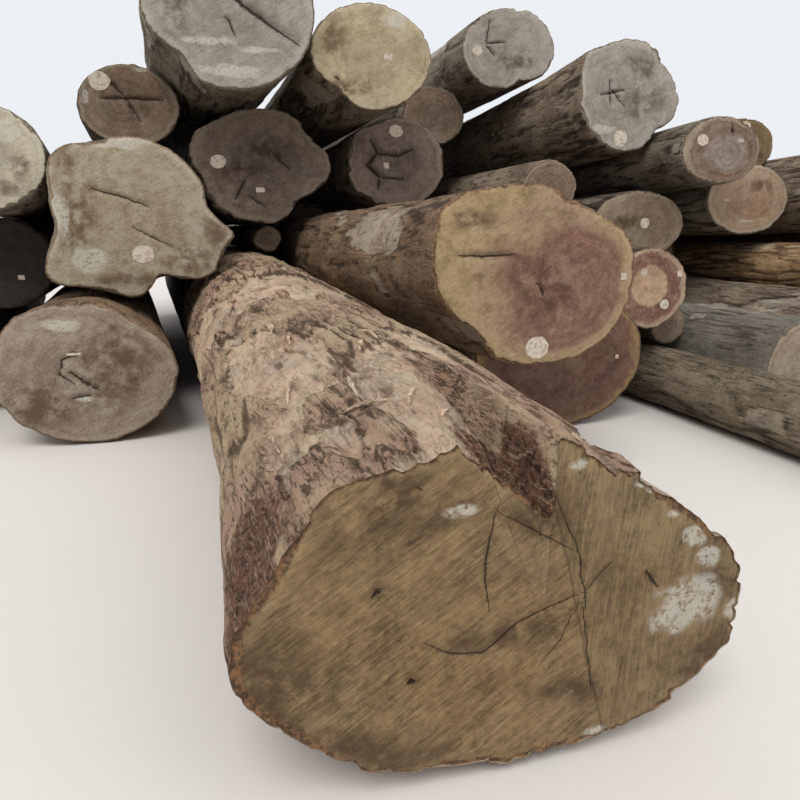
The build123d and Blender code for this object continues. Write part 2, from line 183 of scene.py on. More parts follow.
# One log: its bark and ends, bark relief and the bark's thickness and nicks at the rim in metres, cracks as half
# width and depth in metres and the points of their line, pale paint and dark stains as places and half sizes. Some
# of the stains are painted shade, as in the star log's left hollow.
# The pith, the points, the places and the half sizes are all in halves of the end's width and height, from its
# middle. Logs that aren't listed are hidden and look like PLAIN.
PLAIN = dict(
    bark="dark_bark", end="brown_end", relief=0.016, flaked=0.32, thick=0.01, nicks=0.012, pith=(0, 0), cracks=[],
    paint=[], stains=[],
)
LOGS = {
    "front_log": dict(
        bark="tan_bark", end="olive_end", relief=0.04, flaked=0.18, thick=0.018, nicks=0.008, pith=(-0.3, -0.25),
        cracks=[
            (0.003, 0.006, [(-0.07, 0.6), (-0.1, 0.42), (-0.11, 0.22), (-0.09, 0.03)]),
            (0.0026, 0.005, [(0.15, 0.62), (0.19, 0.5), (0.24, 0.35), (0.28, 0.02), (0.31, -0.31), (0.34, -0.57)]),
            (0.0034, 0.006, [(0.25, 0.04), (0.12, -0.01), (0.02, -0.06), (-0.06, -0.15), (-0.12, -0.21),
                 (-0.23, -0.17), (-0.34, -0.09)]),
            (0.002, 0.004, [(-0.07, 0.57), (0.1, 0.41), (0.24, 0.28)]),
            (0.0018, 0.003, [(0.28, 0.05), (0.34, 0.15), (0.39, 0.21)]),
            (0.0016, 0.003, [(0.26, 0.0), (0.19, -0.21), (0.11, -0.34)]),
            (0.006, 0.01, [(0.53, 0.12), (0.59, 0.01)]),
            (0.012, 0.02, [(-0.51, 0.2), (-0.48, 0.22)]),
            (0.011, 0.02, [(-0.39, -0.31), (-0.36, -0.3)]),
            (0.003, 0.003, [(-0.36, 0.76), (-0.33, 0.72)]),
        ],
        paint=[
            (0.7, -0.11, 0.15, 0.19), (0.22, 0.77, 0.045, 0.035), (0.48, 0.63, 0.035, 0.02), (0.55, 0.59, 0.04, 0.02),
            (0.64, 0.44, 0.05, 0.03), (0.74, 0.29, 0.06, 0.07), (0.8, 0.15, 0.06, 0.06), (0.94, -0.2, 0.04, 0.06),
            (0.36, -0.82, 0.06, 0.05), (-0.2, 0.6, 0.07, 0.04),
        ],
        stains=[
            (0.22, -0.53, 0.14, 0.1), (0.0, -0.12, 0.24, 0.08), (0.88, 0.2, 0.12, 0.3), (-0.85, -0.2, 0.16, 0.4),
            (0.78, -0.45, 0.16, 0.16), (-0.45, 0.7, 0.3, 0.2), (0.1, 0.55, 0.14, 0.16), (-0.6, -0.7, 0.35, 0.2),
        ],
    ),
    "left_log": dict(
        bark="rusty_bark", end="greybrown_end", relief=0.014, thick=0.014, pith=(-0.05, -0.05),
        cracks=[
            (0.008, 0.02, [(-0.1, 0.3), (-0.25, 0.22), (-0.29, 0.02), (-0.14, -0.14)]),
            (0.014, 0.02, [(-0.2, 0.05), (-0.05, -0.1), (0.09, -0.23)]),
            (0.008, 0.02, [(-0.19, -0.34), (0.02, -0.29)]),
        ],
        paint=[(-0.22, 0.7, 0.19, 0.095), (-0.05, -0.35, 0.114, 0.028)],
        stains=[(0.3, 0.1, 0.38, 0.57), (-0.5, -0.4, 0.38, 0.285)],
    ),
    "star_log": dict(
        bark="grey_bark", end="beige_end", nicks=0.022, pith=(-0.02, 0.1),
        cracks=[
            (0.007, 0.02, [(-0.48, 0.37), (-0.2, 0.27), (0.09, 0.15)]),
            (0.005, 0.01, [(-0.1, -0.1), (0.3, -0.35)]),
        ],
        paint=[(-0.1, 0.93, 0.304, 0.095), (-0.8, 0.08, 0.095, 0.266), (-0.55, -0.5, 0.19, 0.152)],
        # The three ovals on the left are painted shade in the log's hollow; the other three are stains
        stains=[
            (-0.68, 0.55, 0.114, 0.57), (-0.62, 0.1, 0.171, 0.57), (-0.66, -0.25, 0.152, 0.19),
            (0.45, -0.5, 0.304, 0.228), (0.75, -0.2, 0.152, 0.19), (-0.1, -0.75, 0.57, 0.095),
        ],
    ),
    "heartwood_log": dict(
        bark="rusty_bark", end="heart_end", relief=0.024, flaked=0.18, thick=0.012, pith=(0.42, -0.24),
        cracks=[
            (0.007, 0.02, [(-0.73, 0.25), (-0.5, 0.23), (-0.23, 0.24)]),
            (0.006, 0.012, [(0.0, -0.05), (0.08, -0.2)]),
        ],
        stains=[(-0.55, 0.02, 0.057, 0.057), (0.1, -0.1, 0.304, 0.304), (-0.6, 0.6, 0.228, 0.095)],
    ),
    "dark_red_log": dict(bark="rusty_bark", end="red_end", relief=0.014, pith=(-0.1, 0.1)),
    "two_ring_log": dict(
        bark="dark_bark", end="tworing_end", relief=0.01, pith=(-0.05, 0.1), paint=[(-0.2, 0.4, 0.095, 0.076)],
    ),
    "greenish_log": dict(
        bark="dark_bark", end="dark_brown_end", relief=0.012, pith=(0.3, -0.1), stains=[(-0.2, 0.1, 0.38, 0.19)],
        paint=[(-0.35, -0.4, 0.057, 0.038)],
    ),
    "orange_log": dict(
        bark="grey_bark", end="orange_end", relief=0.012, pith=(0.1, 0), stains=[(0.3, 0.4, 0.228, 0.152)],
        paint=[(-0.51, -0.02, 0.095, 0.057), (0, -0.6, 0.228, 0.038)],
    ),
    "ringed_log": dict(
        bark="grey_bark", end="ringed_end", relief=0.012, pith=(0.15, -0.1),
        cracks=[(0.025, 0.03, [(0.2, 0.55), (0.26, 0.57)])], paint=[(0.48, 0.31, 0.095, 0.057)],
    ),
    "speckled_log": dict(bark="grey_bark", end="olive_end", relief=0.012, stains=[(0.4, -0.3, 0.285, 0.152)]),
    "fluted_log": dict(
        bark="dark_bark", end="dark_end", nicks=0.03, relief=0.02, pith=(0.1, 0.05),
        cracks=[
            (0.009, 0.02, [(-0.39, -0.57), (-0.24, -0.23)]),
            (0.008, 0.02, [(0.12, 0.28), (0.39, -0.05)]),
            (0.007, 0.02, [(-0.2, -0.5), (0.02, -0.7)]),
        ],
        stains=[(0.2, 0.3, 0.38, 0.19), (-0.3, -0.1, 0.285, 0.19)],
    ),
    "split_end_log": dict(
        bark="dark_bark", end="darkred_end", nicks=0.025, pith=(-0.1, 0.1),
        cracks=[
            (0.02, 0.03, [(-0.55, 0.5), (-0.4, 0.2), (-0.6, -0.05), (-0.35, -0.3), (-0.4, -0.6)]),
            (0.016, 0.02, [(-0.4, 0.2), (0.0, 0.15), (0.3, 0.3)]),
            (0.01, 0.02, [(-0.35, -0.3), (0.1, -0.35)]),
        ],
    ),
    "pale_log": dict(
        bark="grey_bark", end="pale_end", nicks=0.025, relief=0.014, pith=(0, 0.1), paint=[(0.3, 0.5, 0.304, 0.19)],
        stains=[(0.5, -0.2, 0.19, 0.228), (0.2, -0.6, 0.38, 0.152)],
    ),
    "long_crack_log": dict(
        bark="grey_bark", end="grey_end", relief=0.018,
        cracks=[
            (0.016, 0.03, [(-0.2, 0.35), (0.0, 0.16), (0.15, 0.04), (0.39, -0.12), (0.78, -0.39)]),
            (0.006, 0.02, [(-0.05, -0.1), (0.05, -0.35)]),
        ],
        paint=[(-0.24, -0.4, 0.266, 0.057), (0.32, -0.48, 0.228, 0.038), (0, -0.75, 0.38, 0.076)],
        stains=[(-0.6, 0, 0.19, 0.304)],
    ),
    "olive_log": dict(
        bark="grey_bark", end="yellow_end", pith=(0.05, -0.05),
        cracks=[(0.012, 0.02, [(-0.58, -0.37), (-0.5, -0.45)]), (0.01, 0.02, [(-0.46, -0.58), (-0.4, -0.66)])],
        paint=[(0.38, 0.7, 0.209, 0.171)], stains=[(-0.6, 0.3, 0.19, 0.38), (-0.4, -0.6, 0.38, 0.19)],
    ),
    "grey_log": dict(
        bark="grey_bark", end="grey_end", nicks=0.025, pith=(-0.35, 0.1),
        cracks=[
            (0.009, 0.02, [(-0.42, 0.66), (-0.47, 0.06), (-0.3, -0.2)]),
            (0.006, 0.02, [(-0.47, 0.1), (-0.1, 0.15)]),
        ],
        stains=[(0.2, -0.3, 0.38, 0.19)],
    ),
    "square_log": dict(
        bark="brown_bark", end="grey_end", nicks=0.02, relief=0.026, thick=0.014, pith=(-0.4, 0.05),
        cracks=[
            (0.008, 0.02, [(-0.42, 0.26), (-0.39, 0.04), (-0.36, -0.17)]),
            (0.007, 0.02, [(-0.6, -0.01), (-0.13, 0.1)]),
            (0.005, 0.02, [(-0.36, 0.1), (-0.1, -0.2)]),
        ],
        paint=[(-0.5, -0.6, 0.228, 0.076)], stains=[(0.2, 0.5, 0.38, 0.19), (0.3, -0.1, 0.38, 0.266)],
    ),
    "small_top_log": dict(
        bark="dark_bark", end="brown_end", relief=0.012, pith=(-0.1, 0.1),
        cracks=[
            (0.009, 0.02, [(-0.57, 0.83), (-0.3, 0.5), (-0.06, 0.24)]),
            (0.009, 0.02, [(-0.53, 0.15), (0.1, 0.17), (0.69, 0.16)]),
            (0.006, 0.02, [(-0.06, 0.2), (0.2, -0.4)]),
        ],
        paint=[(0.3, 0.85, 0.228, 0.057), (-0.8, 0.2, 0.057, 0.19)],
    ),
    "small_back_log": dict(bark="brown_bark", end="brown_end", relief=0.012),
    "brown_log": dict(bark="dark_bark", end="brown_end"),
    "dark_end_log": dict(bark="dark_bark", end="black_end"),
    "smooth_log": dict(bark="smooth_bark", end="greybrown_end", relief=0.006),
    "mossy_thin_log": dict(bark="mossy_bark", end="greybrown_end", relief=0.01),
    "right_base_log": dict(bark="brown_bark", end="brown_end", relief=0.014),
    "ochre_log": dict(bark="ochre_bark", end="orange_end"),
    "far_right_log": dict(bark="brown_bark", end="brown_end", relief=0.014),
}

# Sawn ends: the pith ring's share of the rim, in metres how far the cracks wander and how uneven the cut and the
# bark at the rim are, and the distance that stands for no crack
PITH_SHARE, CRACK_WANDER, SAW_DEPTH, RIM_DEPTH, NO_CRACK = 0.004, 0.012, 0.0015, 0.006, 9.0


def spread(x, z, half, marks, edge):
    """1 inside the oval marks and 0 outside, with a ragged edge."""
    inside = np.zeros_like(x)
    for px, pz, wide, high in marks:
        away = np.hypot((x / half[0] - px) / wide, (z / half[1] - pz) / high)
        inside = np.maximum(inside, ramp(away + edge, 1.5, 0.3))
    return inside


def end_rows(rng, rim_x, rim_z, look, rings, half, angles, shift):
    """One sawn end, from the pith ring outwards: places off the middle, depth under the saw cut, and its marks.

    Each ring is the rim times a share from 0 to 1. Cracks sink by their depth times a bell of the distance
    to their line, and the bark at the rim stands back a little and unevenly. The marks are the distance to a
    crack in its half widths, with its sign, where a crack is, paint, ring from the pith to the rim, bark, and
    stains, some of which are painted shade.
    """
    share = np.linspace(PITH_SHARE, 1, rings)[:, None]
    turn = np.broadcast_to(angles / (2 * np.pi) % 1, (rings, len(angles)))
    out = np.broadcast_to(share, turn.shape)
    rim = np.hypot(rim_x, rim_z)
    thick = look["thick"] * (0.35 + 1.1 * ramp(fractal(rng, turn[:1], turn[:1] * 0 + 0.5, 10, 1, 3), -0.3, 0.5))
    x, z = share * rim_x, share * rim_z
    wobble = CRACK_WANDER * fractal(rng, turn, out, 20, 7, 3)
    depth = SAW_DEPTH * (1 + fractal(rng, turn, out, 12, 5, 3))
    crack, split, gap = np.full(x.shape, NO_CRACK), np.zeros(x.shape), np.full(x.shape, 1.0)
    mark_x, mark_z = x + shift[0], z + shift[1]
    for width, deep, points in look["cracks"]:
        line = [(px * half[0], pz * half[1]) for px, pz in points]
        away, along = from_line(mark_x + wobble, mark_z + wobble * 0.6, line)
        inside = ramp(along, -0.04, 0.05) * ramp(along, 1.04, 0.95)
        taper = 0.35 + 0.65 * np.sin(np.pi * np.clip(along, 0, 1))
        depth = depth + deep * inside * np.exp(-(away / (0.004 + width * 1.6)) ** 2)
        nearer = np.abs(away) < np.abs(gap)
        gap = np.where(nearer, away, gap)
        crack = np.where(nearer, away / (width * taper), crack)
        split = np.where(nearer, inside * ramp(np.abs(away), 0.05, 0.02), split)
    # Where the sign turns between two cracks and both are too far for it, no crack is there
    for axis in (0, 1):
        beside_x, beside_z, beside_gap = [np.roll(values, -1, axis) for values in (x, z, gap)]
        apart = np.hypot(beside_x - x, beside_z - z)
        false_turn = (gap * beside_gap < 0) & (np.abs(gap) + np.abs(beside_gap) > 1.25 * apart)
        split = np.where(false_turn | np.roll(false_turn, 1, axis), 0, split)
    edge = 0.6 * fractal(rng, turn, out, 30, 9, 3)
    pith_x, pith_z = look["pith"][0] * half[0], look["pith"][1] * half[1]
    bark = ramp(share - (1 - thick / rim), -0.003, 0.003)
    marks = dict(
        crack=crack, split=split, rim=bark,
        paint=spread(mark_x, mark_z, half, look["paint"], edge),
        shade=spread(mark_x, mark_z, half, look["stains"], edge),
        ring=np.hypot(x - pith_x * (1 - share ** 2), z - pith_z * (1 - share ** 2)) / rim,
    )
    return x, z, depth + bark * RIM_DEPTH * (1 + fractal(rng, turn, out, 60, 3, 2)), marks


def tube_faces(rows, around, first=0):
    """Faces of a closed tube on a grid of rows by corners: quads from row to row, then a cap over each end."""
    row, column = np.meshgrid(np.arange(rows - 1), np.arange(around), indexing="ij")
    here, after = row * around + column, row * around + (column + 1) % around
    quads = np.stack([here, here + around, after + around, after], axis=-1).reshape(-1, 4) + first
    caps = [np.arange(around), np.arange(rows * around - 1, (rows - 1) * around - 1, -1)]
    return quads.tolist() + [(cap + first).tolist() for cap in caps]


def new_mesh(name, places, faces, **fields):
    """Mesh whose points carry the given values."""
    mesh = bpy.data.meshes.new(name)
    mesh.from_pydata(places.tolist(), [], faces)
    for field, values in fields.items():
        mesh.attributes.new(field, "FLOAT", "POINT").data.foreach_set("value", values.astype(np.float32))
    mesh.update()
    return mesh


# Patches of the front log's bark, an oval each: degrees about the log and half width, metres from its butt and half
# length. Peeled wood lies beside the notch, a pale side on the left, and rotten bark low on the left.
PEELED_PATCH, PALE_PATCH, ROTTEN_PATCH = (111, 14, 0.48, 0.6), (140, 22, 1.3, 1.3), (170, 22, 0.2, 0.7)

# A section is read at so many angles and softened over so many degrees. The columns crowd round the angle that the
# yard sees. Furrows stand so far apart round the log, and the edges are worn so far in, in metres. ON_BARK is what
# the marks of the ends are on the bark.
SECTION_ANGLES, CORNER_DEGREES = 720, 2.6
SEEN_FROM, CROWDING = math.radians(80), 0.45
FURROW_SPACING, EDGE_REACH = 0.065, 0.02
ON_BARK = dict(crack=NO_CRACK, split=0, paint=0, ring=1, rim=1, shade=0)


def region(degrees, along, patch):
    """1 in the middle of a patch of bark and 0 from its edge on: an oval in angle and in distance along the log."""
    at, reach, place, length = patch
    turn = (degrees - at + 180) % 360 - 180
    return np.clip(1.3 - np.hypot(turn / reach, (along - place) / length), 0, 1)


def column_angles(around):
    """Angles of the columns, closer together where the yard sees the log, from its right shoulder to its left foot."""
    angles = np.linspace(0, 1, around, endpoint=False)
    angles = 2 * np.pi * angles + CROWDING * np.sin(2 * np.pi * angles) - SEEN_FROM
    angles = (angles + np.pi) % (2 * np.pi) - np.pi
    return np.roll(angles, -int(np.argmin(angles)))


def log_mesh(name, look, around, stations, rings, seed):
    """Mesh of one log as a grid, round by along: near end from its pith to the rim, bark, far end to its pith.

    Bark radius = outline of the solid, a mix of its sections along the log, less a relief that is never
    negative: furrows, which are long narrow valleys of noise stretched along the log, and flaked patches.
    """
    rng = np.random.default_rng(seed)
    points = mesh_points(nodes[name].data)
    front = name == "front_log"
    shift = FRONT_SHIFT if front else np.zeros(2)
    start, end = points[:, 1].min(), points[:, 1].max()
    has_flare = (np.abs(points[:, 1] - start - FLARE_LENGTH) < ON_PLANE).sum() > 12
    places = [start, start + FLARE_LENGTH, end] if has_flare else [start, end]
    even = np.arange(SECTION_ANGLES) / SECTION_ANGLES * 2 * np.pi - np.pi
    middles, radii = zip(*[section_at(points, y, even, shift) for y in places])
    middles, radii = np.array(middles), list(radii)
    if front:
        clear = (even < NOTCH_FROM) | (even > NOTCH_TO)
        radii[0] = np.where(clear, radii[0], np.interp(even, even[clear], radii[0][clear]))
    angles = column_angles(around)
    radii = np.array([np.interp(angles, even, softened(radius, CORNER_DEGREES), period=2 * np.pi) for radius in radii])
    half = np.array([np.ptp(radii[0] * np.cos(angles)), np.ptp(radii[0] * np.sin(angles))]) / 2

    # Stations stand closer together near the butt, where the detail is
    along = (end - start) * np.linspace(0, 1, stations) ** (1.5 if front else 1.25)
    y = start + along
    nth = np.clip(np.searchsorted(places, y, side="right"), 1, len(places) - 1)
    share = (y - np.take(places, nth - 1)) / (np.take(places, nth) - np.take(places, nth - 1))
    bent = share + (0 if front else 0.3) * share * (1 - share) * (nth < len(places) - 1)
    base = radii[nth - 1] * (1 - bent)[:, None] + radii[nth] * bent[:, None]
    middle = middles[nth - 1] * (1 - share)[:, None] + middles[nth] * share[:, None]

    turn = np.broadcast_to(angles / (2 * np.pi) % 1, base.shape)
    grid_along = np.broadcast_to(along[:, None], base.shape)
    degrees = np.broadcast_to(np.degrees(angles), base.shape)
    cells = max(14, int(2 * np.pi * radii[0].mean() / FURROW_SPACING))
    warp = 0.9 * fractal(rng, turn, grid_along, max(6, cells // 8), 1.3, 3) / cells
    furrows = 1 - np.abs(fractal(rng, (turn + warp) % 1, grid_along, cells, 1.3, 2)) * 2.4
    clusters = ramp(fractal(rng, turn, grid_along, max(5, cells // 8), 0.8, 3), -0.25, 0.3)
    furrows = np.clip(furrows, 0, 1) ** 3 * (0.25 + 0.75 * clusters)
    lumps = 0.5 + 0.5 * fractal(rng, turn, grid_along, max(5, cells // 5), 1.2, 3)
    fine = 0.5 + 0.5 * fractal(rng, turn, grid_along, cells * 2, 7, 3)
    ragged = fractal(rng, turn, grid_along, cells // 2, 3.5, 4)
    flaking = fractal(rng, turn, grid_along, max(6, cells // 5), 0.9, 3) + 0.2 * ragged
    flakes = ramp(flaking, look["flaked"], look["flaked"] + 0.06)
    rot = np.zeros_like(base)
    if front:
        peeled = ramp(region(degrees, grid_along, PEELED_PATCH) + 0.35 * ragged, 0.25, 0.33)
        pale = ramp(region(degrees, grid_along, PALE_PATCH) + 0.9 * ragged, 0.5, 0.57)
        flakes = np.maximum(np.maximum(flakes, peeled), pale)
        rot = 0.8 * ramp(region(degrees, grid_along, ROTTEN_PATCH) + 0.9 * ragged, 0.3, 0.9)
    plates = ramp(fractal(rng, turn, grid_along, max(6, cells // 4), 1.3, 3) + 0.25 * ragged, -0.03, 0.04)
    pits = ramp(fractal(rng, turn, grid_along, cells * 2, 6, 2), 0.25, 0.6) * ramp(ragged, -0.3, 0.2)
    pits = pits * ramp(along, 0.0, 0.08)[:, None]
    open_furrows = furrows * (1 - 0.8 * flakes)
    relief = look["relief"] * (0.5 * open_furrows + 0.2 * lumps + 0.14 * fine + 0.6 * flakes + 0.35 * plates
                               + 0.3 * pits + 0.12 * (1 + ragged))
    chipped = 0.5 + 0.5 * fractal(rng, turn, grid_along * 0, 40, 1, 3)
    edge = np.exp(-along / EDGE_REACH)[:, None] + np.exp(-(along[-1] - along) / EDGE_REACH)[:, None]
    nicks = ramp(fractal(rng, turn, grid_along * 0 + 0.5, 22, 1, 4), 0.0, 0.35)
    crumbled = 0.5 + 0.5 * fractal(rng, turn, grid_along, 130, 12, 3)
    relief = relief + edge * (0.01 * chipped + look["nicks"] * nicks) + 0.02 * rot * crumbled
    x, z = (base - relief) * np.cos(angles), (base - relief) * np.sin(angles)
    if front:
        # The notch: whatever stands above the two slopes of the wedge is taken straight down to them
        size = 1 - (1 - NOTCH_END_SIZE) * grid_along / NOTCH_LENGTH
        size = np.where(size > NOTCH_END_SIZE, size, 0)
        crumble = fractal(rng, turn, grid_along, 90, 9, 4)
        off = x + middle[:, :1] - FRONT_OVAL_X - FRONT_LEAN * grid_along + 0.02 * crumble
        foot, left_rim, right_rim = NOTCH_FOOT * size, NOTCH_LEFT * size, NOTCH_RIGHT * size
        left = (off - left_rim) / np.maximum(foot - left_rim, 1e-5)
        right = (right_rim - off) / np.maximum(right_rim - foot, 1e-5)
        wedge = np.clip(np.minimum(left, right), 0, 1) * (z > 0) * (size > 0)
        rim_height = (base * np.sin(angles)).max(axis=1)[:, None]
        slope_height = rim_height - NOTCH_DEPTH * size * wedge * (1 - 0.12 * (crumble > 0.1)) - 0.012 * (1 + crumble)
        z = z - np.where(wedge > 0, np.maximum(z - slope_height, 0), 0)
        inclusion = ramp(wedge + 0.4 * crumble, 0.3, 0.6) * ramp(grid_along + 0.15 * crumble, 0.42, 0.2)
        rot = np.maximum(rot, inclusion)
    # Darker in the furrows, pits and low lumps, partly grime and partly painted shade, and a painted shadow along the
    # edges of the flakes
    dark_bark = np.clip(open_furrows + 0.2 * (1 - lumps) + 0.5 * pits + 2.5 * flakes * (1 - flakes), 0, 1)
    z = np.maximum(z, 0.001 - middle[:, 1:])

    near_x, near_z, near_depth, near_marks = end_rows(rng, x[0], z[0], look, rings, half, angles, shift)
    bare_end = look | dict(cracks=[], paint=[], stains=[])
    far_rings = max(6, rings // 4)
    far_x, far_z, far_depth, far_marks = end_rows(rng, x[-1], z[-1], bare_end, far_rings, half, angles, shift)

    def rows_at(x_rows, y_rows, z_rows, middle_rows):
        y_rows = np.broadcast_to(y_rows, x_rows.shape)
        return np.stack([middle_rows[..., 0] + x_rows, y_rows, middle_rows[..., 1] + z_rows], axis=-1).reshape(-1, 3)

    place = np.concatenate([
        rows_at(near_x, y[0] + near_depth, near_z, middle[0]),
        rows_at(x[1:-1], y[1:-1, None], z[1:-1], middle[1:-1, None, :]),
        rows_at(far_x[::-1], y[-1] - far_depth[::-1], far_z[::-1], middle[-1]),
    ])

    def stacked(near_values, bark_values, far_values):
        return np.concatenate([near_values.ravel(), bark_values[1:-1].ravel(), far_values[::-1].ravel()])

    fields = {key: stacked(near_marks[key], np.full(x.shape, value), far_marks[key]) for key, value in ON_BARK.items()}
    for key, values, at_rim in (("furrow_grime_and_shade", dark_bark, 0), ("flake", flakes, 0), ("rot", rot, rot[:1])):
        fields[key] = stacked(near_marks["rim"] * at_rim, values, far_x * 0)

    rows = rings + stations - 2 + far_rings
    result = new_mesh(name + "_wood", place, tube_faces(rows, around), **fields)
    row = np.arange(rows - 1)
    is_bark = (row >= rings - 1) & (row < rows - far_rings)
    result.polygons.foreach_set("material_index", np.append(np.repeat(is_bark, around), [0, 0]).astype(np.int32))
    result.polygons.foreach_set("use_smooth", np.ones(len(result.polygons), bool))
    result.update()
    return result


# Node helpers
class Value:
    """A value in a node tree, so that sums on values read like sums on numbers. Each step is one Math node."""

    def __init__(self, socket):
        self.socket, self.tree = socket, socket.id_data

    def math(self, operation, *others):
        """Result of a Math node on this value and the others."""
        node = self.tree.nodes.new("ShaderNodeMath")
        node.operation = operation
        for value, socket in zip((self, *others), node.inputs):
            plug(value, socket)
        return Value(node.outputs[0])

    def __add__(self, other):
        return self.math("ADD", other)

    def __sub__(self, other):
        return self.math("SUBTRACT", other)

    def __mul__(self, other):
        return self.math("MULTIPLY", other)

    def __truediv__(self, other):
        return self.math("DIVIDE", other)

    def __abs__(self):
        return self.math("ABSOLUTE")

    __radd__, __rmul__ = __add__, __mul__


def plug(value, socket):
    """Link a value to a socket, or set the socket to a number, a colour or a vector."""
    if isinstance(value, Value):
        value.tree.links.new(value.socket, socket)
    else:
        socket.default_value = value


def add_node(tree, kind, inputs=None, **settings):
    """A new node with the given properties, and with inputs by name or number."""
    node = tree.nodes.new(kind)
    for key, value in settings.items():
        setattr(node, key, value)
    for key, value in (inputs or {}).items():
        plug(value, node.inputs[key])
    return node


def mix_colour(share, first, second):
    """First colour turned towards the second by a share. One of the three at least is a value of a tree."""
    tree = next(value.tree for value in (share, first, second) if isinstance(value, Value))
    return Value(add_node(tree, "ShaderNodeMix", {0: share, 6: first, 7: second}, data_type="RGBA").outputs[2])


def coated(colour, *coats):
    """A colour under coats, each with its share and its own colour, the first one lowest."""
    for share, coat in coats:
        colour = mix_colour(share, colour, coat)
    return colour


def object_places(tree):
    """Places in the object's own axes, in metres."""
    return Value(tree.nodes.new("ShaderNodeTexCoord").outputs["Object"])


def attributes(tree, *names):
    """Values that the mesh carries at each point."""
    return [Value(add_node(tree, "ShaderNodeAttribute", attribute_name=name).outputs["Fac"]) for name in names]


def noise(place, scale, detail=4.0, rough=0.55, distort=0.0):
    """Noise from 0 to 1, with that many cells to the metre."""
    inputs = {"Vector": place, "Scale": scale, "Detail": detail, "Roughness": rough, "Distortion": distort}
    return Value(add_node(place.tree, "ShaderNodeTexNoise", inputs).outputs["Fac"])


def step(value, low, high):
    """0 up to low and 1 from high on, or the other way round where low is the greater."""
    first, last = (low, high) if low < high else (high, low)
    ends = (0.0, 1.0) if low < high else (1.0, 0.0)
    inputs = {0: value, 1: first, 2: last, 3: ends[0], 4: ends[1]}
    return Value(add_node(value.tree, "ShaderNodeMapRange", inputs, interpolation_type="SMOOTHSTEP").outputs[0])


def moved(place, scale=(1, 1, 1), offset=(0, 0, 0)):
    """Places scaled by axis, which stretches a pattern on them, and moved, so that it doesn't match another one."""
    inputs = {"Vector": place, "Scale": scale, "Location": offset}
    return Value(add_node(place.tree, "ShaderNodeMapping", inputs).outputs[0])


def drawn_out(place, across, along, *rest, offset=(0, 0, 0)):
    """Noise with more cells across the log than along it."""
    return noise(moved(place, (across, along, across), offset), 1.0, *rest)


def new_group(name, inputs):
    """Shader group that gives a colour, a roughness and a height for the bump: its tree, and its inputs by name."""
    tree = bpy.data.node_groups.new(name, "ShaderNodeTree")
    for label, value in inputs.items():
        kind = "NodeSocketColor" if isinstance(value, tuple) else "NodeSocketFloat"
        tree.interface.new_socket(label, in_out="INPUT", socket_type=kind).default_value = value
    for label, kind in (("Color", "NodeSocketColor"), ("Roughness", "NodeSocketFloat"), ("Height", "NodeSocketFloat")):
        tree.interface.new_socket(label, in_out="OUTPUT", socket_type=kind)
    return tree, {socket.name: Value(socket) for socket in tree.nodes.new("NodeGroupInput").outputs if socket.name}


def close_group(tree, colour, roughness, height):
    """Connect a group's three outputs."""
    for value, socket in zip((colour, roughness, height), tree.nodes.new("NodeGroupOutput").inputs):
        plug(value, socket)
    return tree


GREY = (0.5, 0.5, 0.5, 1.0)
CHALK, CRACK_DARK, BROWN_STAIN_AND_SHADE = srgb(190, 186, 174), srgb(36, 27, 20), srgb(84, 56, 36)
BARK_BLACK, WORN_GREY = srgb(24, 19, 15), srgb(190, 178, 164)
ROT_CRUMB, ROT_HOLLOW = srgb(40, 29, 23), srgb(40, 31, 25)
NO_SECOND_CUT = 100.0


